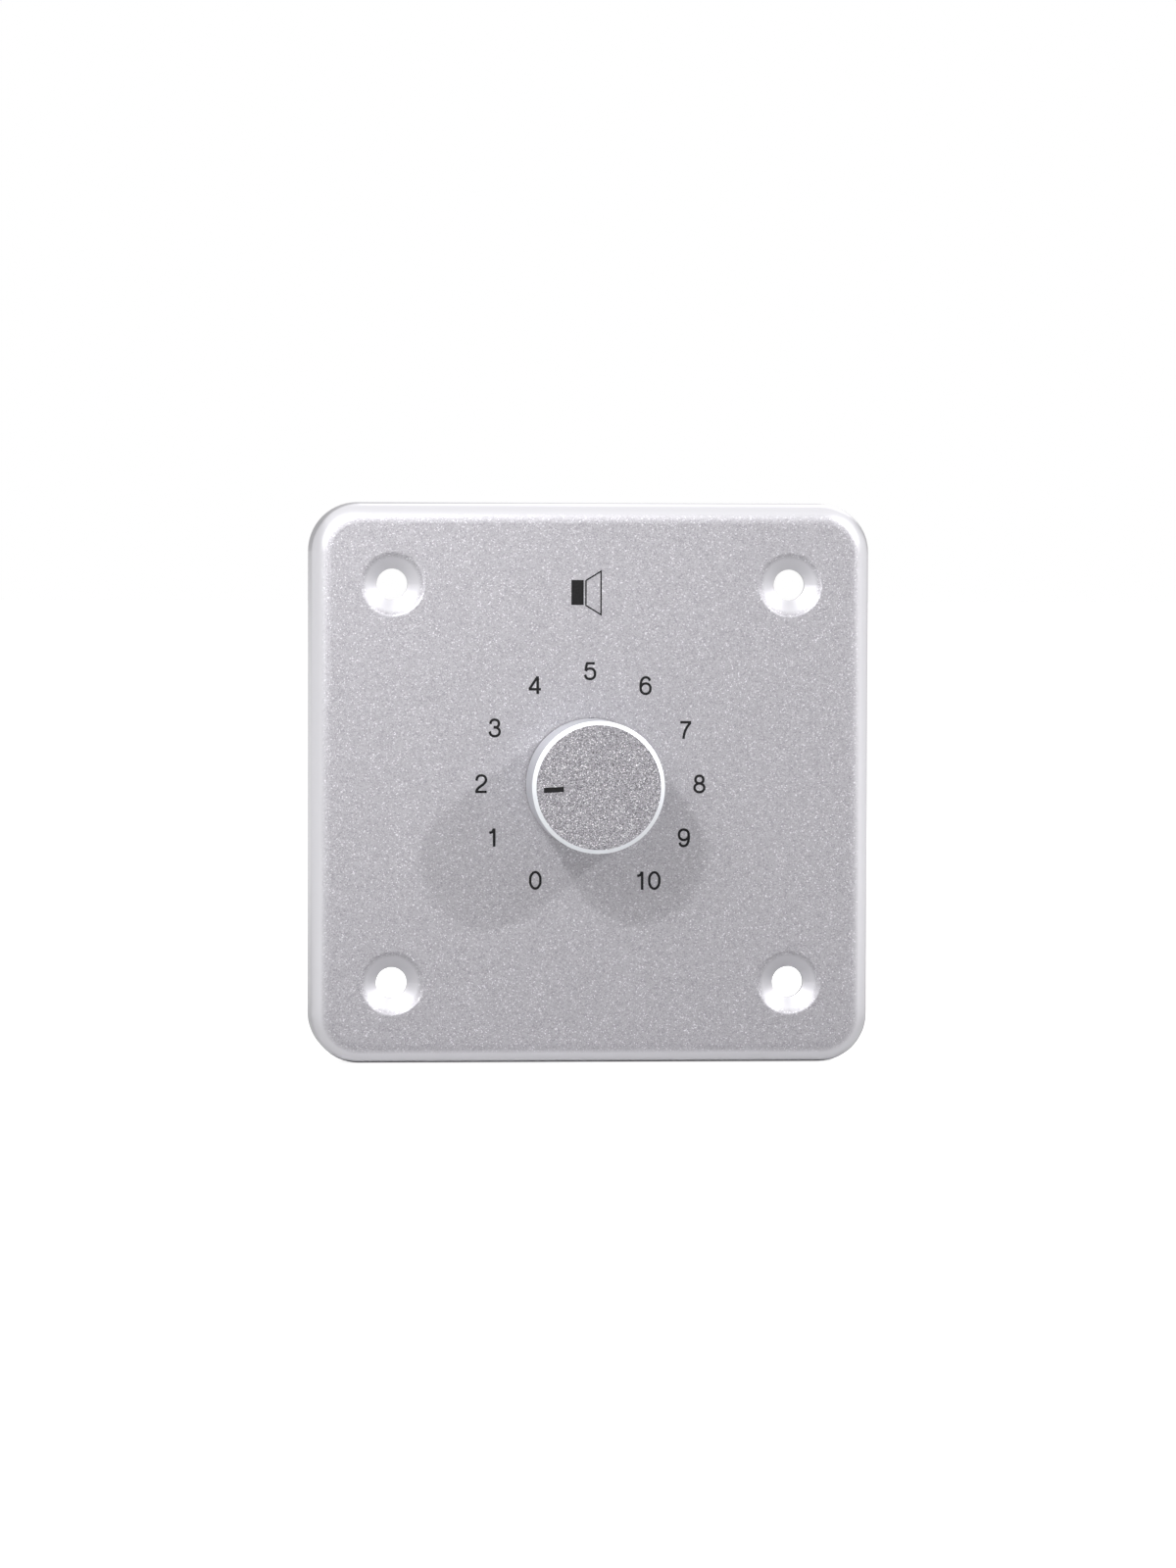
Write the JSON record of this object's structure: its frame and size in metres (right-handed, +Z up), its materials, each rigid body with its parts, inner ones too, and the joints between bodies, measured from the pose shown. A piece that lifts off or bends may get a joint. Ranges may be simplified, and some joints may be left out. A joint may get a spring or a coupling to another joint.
{
  "type": "speaker volume control",
  "caption": "Square flush wall plate with a round volume knob on a stepped rotary switch, countersunk screw holes, and a line transformer on a round board behind.",
  "frame": {"origin": "centre of the plane in which the rim of the face plate meets the wall", "axes": "-Y out of the wall towards the user, +Y into the wall, +Z up, +X to the user's right"},
  "size_m": [0.08, 0.0666, 0.08],
  "materials": {
    "plate_metal": "fine blasted face with polished roundings",
    "knob_metal": "coarse blasted top with a bright cut bevel",
    "zinc_steel": "zinc plated",
    "ball_steel": "polished",
    "spring_steel": "drawn spring wire",
    "contact_silver": "silver plated brass",
    "terminal_brass": "nickel plated brass",
    "tinned_wire": "tinned",
    "shaft_metal": "turned",
    "switch_plastic": "moulded, black",
    "rotor_plastic": "moulded, natural",
    "core_plastic": "moulded, dark grey",
    "board_laminate": "glass fibre laminate with solder mask",
    "lamination_steel": "stacked sheets, varnished",
    "bobbin_plastic": "moulded, black",
    "winding_tape": "polyester tape over the winding",
    "terminal_plastic": "moulded, green"
  },
  "bodies": {
    "panel": {"face_plate": "plate_metal", "weld_studs": "zinc_steel", "hex_spacers": "zinc_steel", "circuit_board": "board_laminate", "board_washers": "zinc_steel", "board_screws": "zinc_steel", "switch_housing": "switch_plastic", "switch_base": "switch_plastic", "switch_pins": "contact_silver", "common_contact": "contact_silver", "stop_washer": "zinc_steel", "lock_washer": "zinc_steel", "panel_nut": "zinc_steel", "core_laminations": "lamination_steel", "coil_bobbin": "bobbin_plastic", "coil_winding": "winding_tape", "bobbin_pins": "tinned_wire", "core_clamp": "zinc_steel", "terminal_block": "terminal_plastic", "terminal_cages": "terminal_brass", "terminal_screws": "zinc_steel", "terminal_pins": "tinned_wire"},
    "dial": {"switch_shaft": "shaft_metal", "switch_rotor": "rotor_plastic", "wiper_contact": "contact_silver", "detent_spring_left": "spring_steel", "detent_spring_right": "spring_steel", "knob_shell": "knob_metal", "knob_core": "core_plastic", "knob_clip": "spring_steel"},
    "ball_left": {"detent_ball_left": "ball_steel"},
    "ball_right": {"detent_ball_right": "ball_steel"}
  },
  "joints": [
    {"name": "dial_turn", "type": "hinge", "parent": "panel", "child": "dial", "pos_m": [0, -0.0156, 0], "axis": [0, 1, 0], "range_deg": [-60, 240]},
    {"name": "ball_left_press", "type": "slide", "parent": "dial", "child": "ball_left", "axis": [-1, 0, 0], "range_m": [0, 0.00035], "stiffness_N_per_m": 400, "springref_m": 0.002, "deforming": ["detent_spring_left"]},
    {"name": "ball_right_press", "type": "slide", "parent": "dial", "child": "ball_right", "axis": [1, 0, 0], "range_m": [0, 0.00035], "stiffness_N_per_m": 400, "springref_m": 0.002, "deforming": ["detent_spring_right"]}
  ]
}
